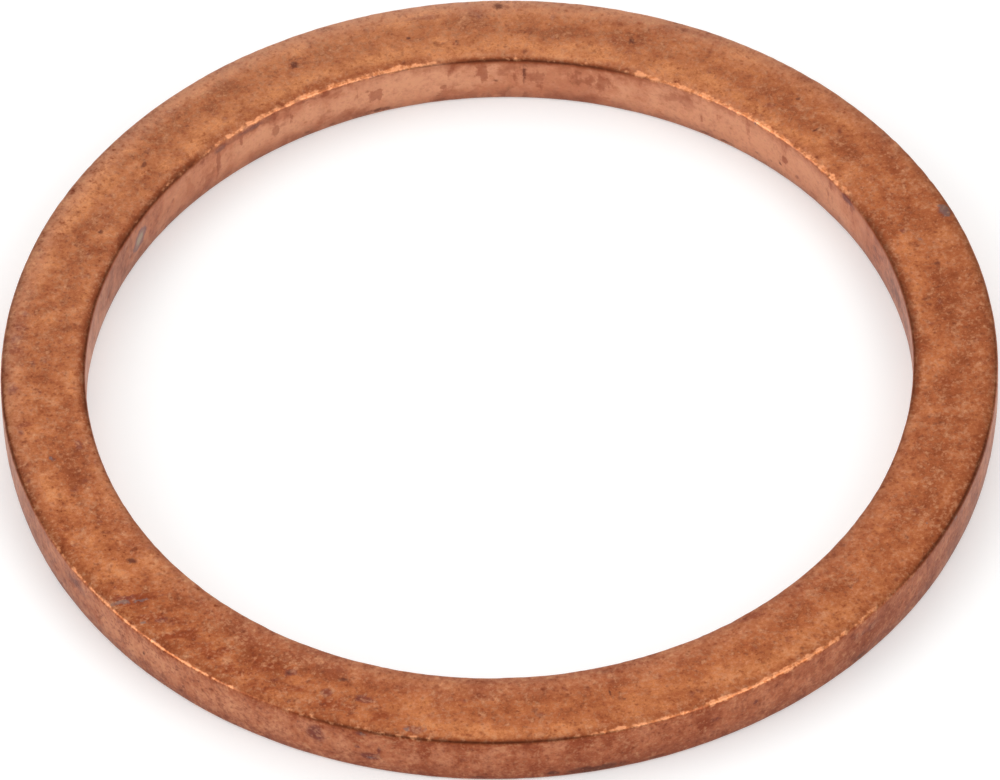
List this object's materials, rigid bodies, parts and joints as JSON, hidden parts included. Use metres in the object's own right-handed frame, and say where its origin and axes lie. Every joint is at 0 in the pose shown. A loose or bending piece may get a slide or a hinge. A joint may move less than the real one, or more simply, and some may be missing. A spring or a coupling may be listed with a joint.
{
  "type": "flat copper seal ring",
  "caption": "Flat solid copper sealing ring, round with a large central hole and rounded edges, crushed between a screw plug and its port to seal it.",
  "frame": {"origin": "centre of the hole, in the plane of the lower face", "axes": "+Z along the ring's axis, from the lower face to the upper one; the ring is round, so X and Y are free"},
  "size_m": [0.0258, 0.0258, 0.0016],
  "materials": {
    "copper": null
  },
  "bodies": {
    "root": {"seal_ring": "copper"}
  },
  "joints": []
}
